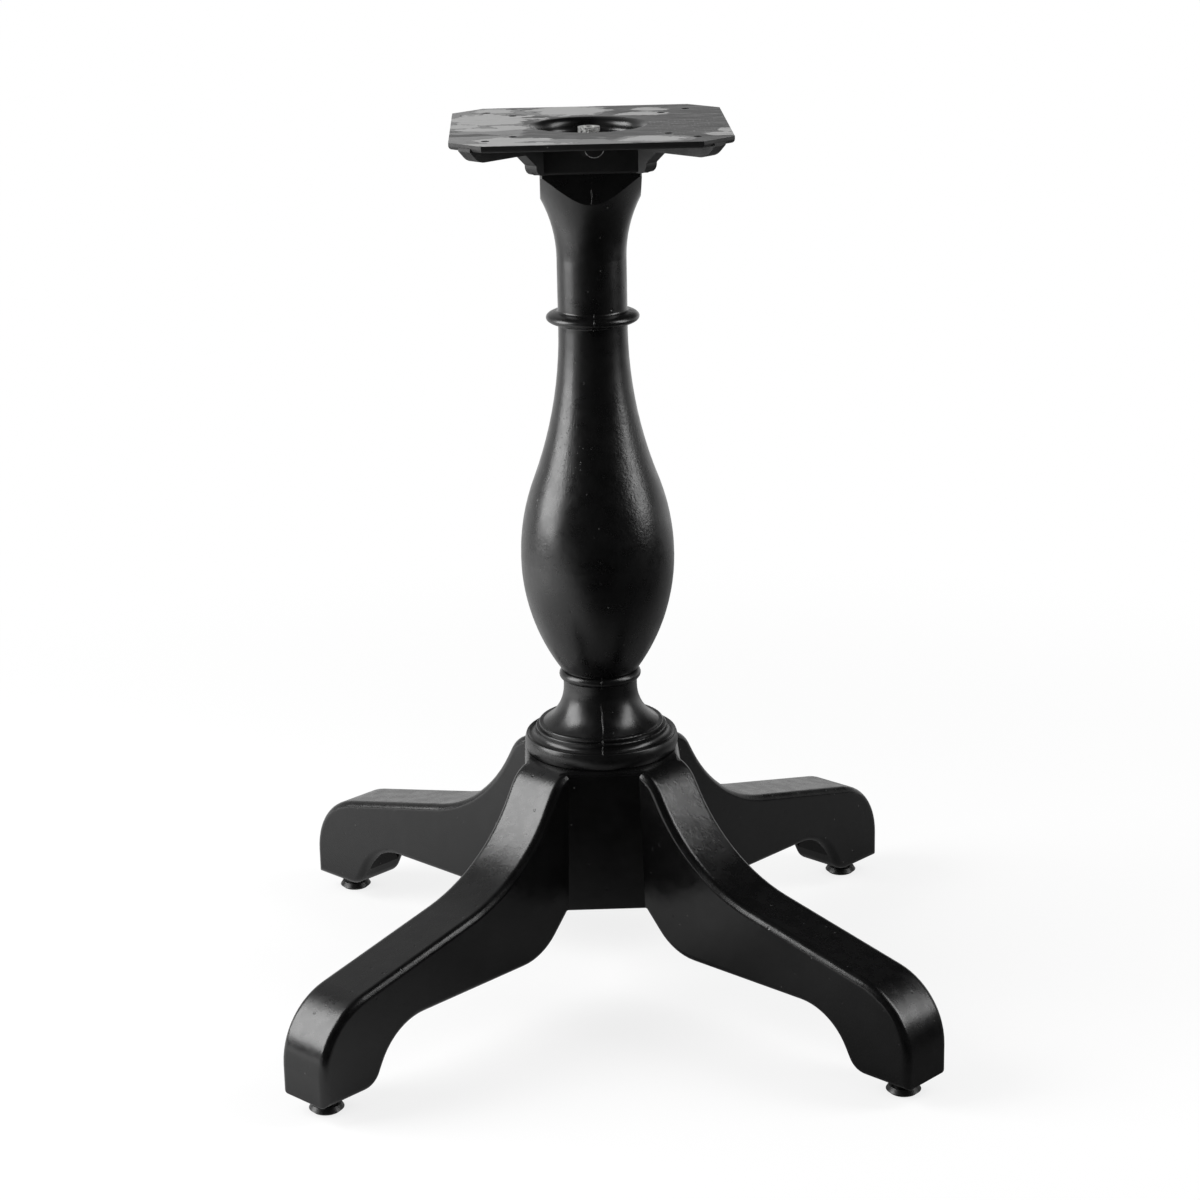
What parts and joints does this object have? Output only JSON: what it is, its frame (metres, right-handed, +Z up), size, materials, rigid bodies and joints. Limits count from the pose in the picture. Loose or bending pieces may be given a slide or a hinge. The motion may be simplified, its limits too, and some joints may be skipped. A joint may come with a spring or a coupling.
{
  "type": "pedestal table base",
  "caption": "Black cast iron pedestal table base with a turned baluster column, scrolled diagonal legs on levelling glides and a square fixing plate for a table top.",
  "frame": {"origin": "on the floor, on the column axis", "axes": "+Z up along the column; X and Y parallel to the sides of the fixing plate, with the legs on the diagonals and the front at -Y"},
  "size_m": [0.5084, 0.5084, 0.72],
  "materials": {
    "painted_casting": "satin black paint over sand-cast iron",
    "painted_plate": "black paint, worn grey on the upper face",
    "zinc_steel": "bright zinc plating",
    "glide_plastic": "glossy black moulding"
  },
  "bodies": {
    "frame": {"base_casting": "painted_casting", "column": "painted_casting", "top_plate": "painted_plate", "tie_rod": "zinc_steel", "top_washer": "zinc_steel", "top_nut": "zinc_steel", "bottom_washer": "zinc_steel", "bottom_nut": "zinc_steel"},
    "glide_front_left": {"glide_foot_front_left": "glide_plastic", "glide_stem_front_left": "zinc_steel"},
    "glide_front_right": {"glide_foot_front_right": "glide_plastic", "glide_stem_front_right": "zinc_steel"},
    "glide_rear_left": {"glide_foot_rear_left": "glide_plastic", "glide_stem_rear_left": "zinc_steel"},
    "glide_rear_right": {"glide_foot_rear_right": "glide_plastic", "glide_stem_rear_right": "zinc_steel"}
  },
  "joints": [
    {"name": "level_front_left", "type": "slide", "parent": "frame", "child": "glide_front_left", "axis": [0, 0, 1], "range_m": [-0.01, 0.004]},
    {"name": "level_front_right", "type": "slide", "parent": "frame", "child": "glide_front_right", "axis": [0, 0, 1], "range_m": [-0.01, 0.004]},
    {"name": "level_rear_left", "type": "slide", "parent": "frame", "child": "glide_rear_left", "axis": [0, 0, 1], "range_m": [-0.01, 0.004]},
    {"name": "level_rear_right", "type": "slide", "parent": "frame", "child": "glide_rear_right", "axis": [0, 0, 1], "range_m": [-0.01, 0.004]}
  ]
}
